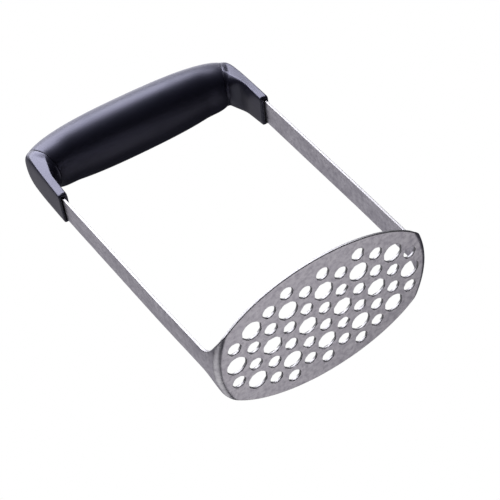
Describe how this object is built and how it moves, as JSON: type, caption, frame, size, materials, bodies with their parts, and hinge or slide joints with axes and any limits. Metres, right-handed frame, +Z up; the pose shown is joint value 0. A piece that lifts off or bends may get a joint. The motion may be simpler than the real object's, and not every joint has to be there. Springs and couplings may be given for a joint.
{
  "type": "potato masher",
  "caption": "Hand potato masher: perforated oval steel plate on two flat arms under a horizontal barrel grip.",
  "frame": {"origin": "centre of the flat underside of the plate, where the masher stands", "axes": "+X along the grip, +Y across the plate's short way, +Z up from the plate to the grip"},
  "size_m": [0.1142, 0.0694, 0.1731],
  "materials": {
    "blade_steel": "satin rolled stainless steel with fine scratches and bright punched edges",
    "soft_black": "satin moulded soft plastic, blue-black",
    "hard_black": "fine-textured hard plastic, blue-black",
    "core_plastic": "plain moulded plastic, hidden",
    "fastener_steel": "plain turned steel, hidden"
  },
  "bodies": {
    "root": {"steel_blade": "blade_steel", "soft_grip": "soft_black", "left_shoulder": "hard_black", "right_shoulder": "hard_black", "grip_core": "core_plastic", "left_tang_screw": "fastener_steel", "right_tang_screw": "fastener_steel", "left_spigot_pin": "fastener_steel", "right_spigot_pin": "fastener_steel"}
  },
  "joints": []
}
